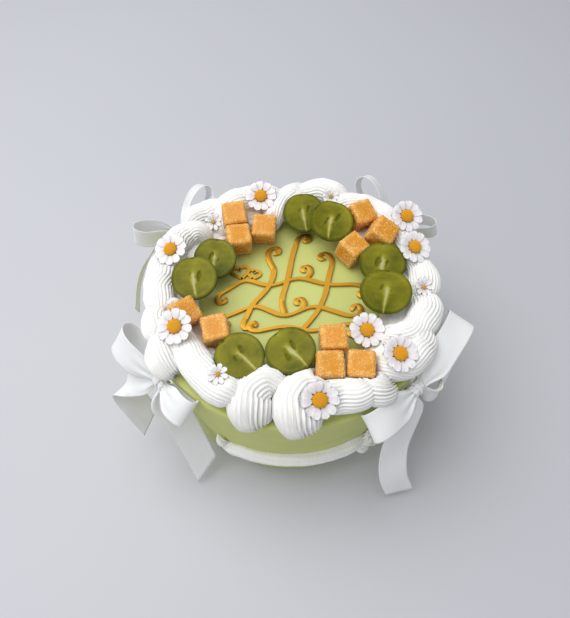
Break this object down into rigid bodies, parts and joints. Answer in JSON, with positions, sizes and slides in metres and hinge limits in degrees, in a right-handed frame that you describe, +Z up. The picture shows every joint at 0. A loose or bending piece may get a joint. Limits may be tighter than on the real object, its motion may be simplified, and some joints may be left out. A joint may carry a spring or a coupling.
{
  "type": "decorated cream cake",
  "caption": "Round cream cake with a piped cream border, halved grapes, sugared jelly cubes, daisies, a gilt ornament and satin bows; solid, uncut and ready to stand on a board.",
  "frame": {"origin": "centre of the cake's flat underside", "axes": "+Z up along the cake's axis, -Y towards the front, where the ornament is read from"},
  "size_m": [0.2497, 0.2304, 0.1271],
  "materials": {
    "pale_green_coat": "smooth soft coat of pale green cream",
    "white_cream": "piped whipped cream, satin",
    "green_grape": "wet, translucent grape flesh and skin",
    "orange_jelly": "fruit jelly under a crust of sugar",
    "white_petal": "thin sugar-paste petals",
    "yellow_centre": "hatched sugar paste",
    "gold_mirror_sheet": "gold mirror sheet",
    "white_satin": "soft satin ribbon"
  },
  "bodies": {
    "root": {"cake_body": "pale_green_coat", "cream_border": "white_cream", "side_garland_1": "white_cream", "side_garland_2": "white_cream", "side_garland_3": "white_cream", "side_garland_4": "white_cream", "grape_half_1": "green_grape", "grape_half_2": "green_grape", "grape_half_3": "green_grape", "grape_half_4": "green_grape", "grape_half_5": "green_grape", "grape_half_6": "green_grape", "grape_half_7": "green_grape", "grape_half_8": "green_grape", "jelly_cube_1": "orange_jelly", "jelly_cube_2": "orange_jelly", "jelly_cube_3": "orange_jelly", "jelly_cube_4": "orange_jelly", "jelly_cube_5": "orange_jelly", "jelly_cube_6": "orange_jelly", "jelly_cube_7": "orange_jelly", "jelly_cube_8": "orange_jelly", "jelly_cube_9": "orange_jelly", "jelly_cube_10": "orange_jelly", "jelly_cube_11": "orange_jelly", "daisy_petals_1": "white_petal", "daisy_centre_1": "yellow_centre", "daisy_petals_2": "white_petal", "daisy_centre_2": "yellow_centre", "daisy_petals_3": "white_petal", "daisy_centre_3": "yellow_centre", "daisy_petals_4": "white_petal", "daisy_centre_4": "yellow_centre", "daisy_petals_5": "white_petal", "daisy_centre_5": "yellow_centre", "daisy_petals_6": "white_petal", "daisy_centre_6": "yellow_centre", "daisy_petals_7": "white_petal", "daisy_centre_7": "yellow_centre", "daisy_petals_8": "white_petal", "daisy_centre_8": "yellow_centre", "small_daisy_1": "white_petal", "small_daisy_2": "white_petal", "small_daisy_3": "white_petal", "small_daisy_4": "white_petal", "gilt_ornament": "gold_mirror_sheet", "ribbon_bow_1": "white_satin", "ribbon_tie_1": "white_satin", "ribbon_bow_2": "white_satin", "ribbon_tie_2": "white_satin", "ribbon_bow_3": "white_satin", "ribbon_tie_3": "white_satin", "ribbon_bow_4": "white_satin", "ribbon_tie_4": "white_satin"}
  },
  "joints": []
}
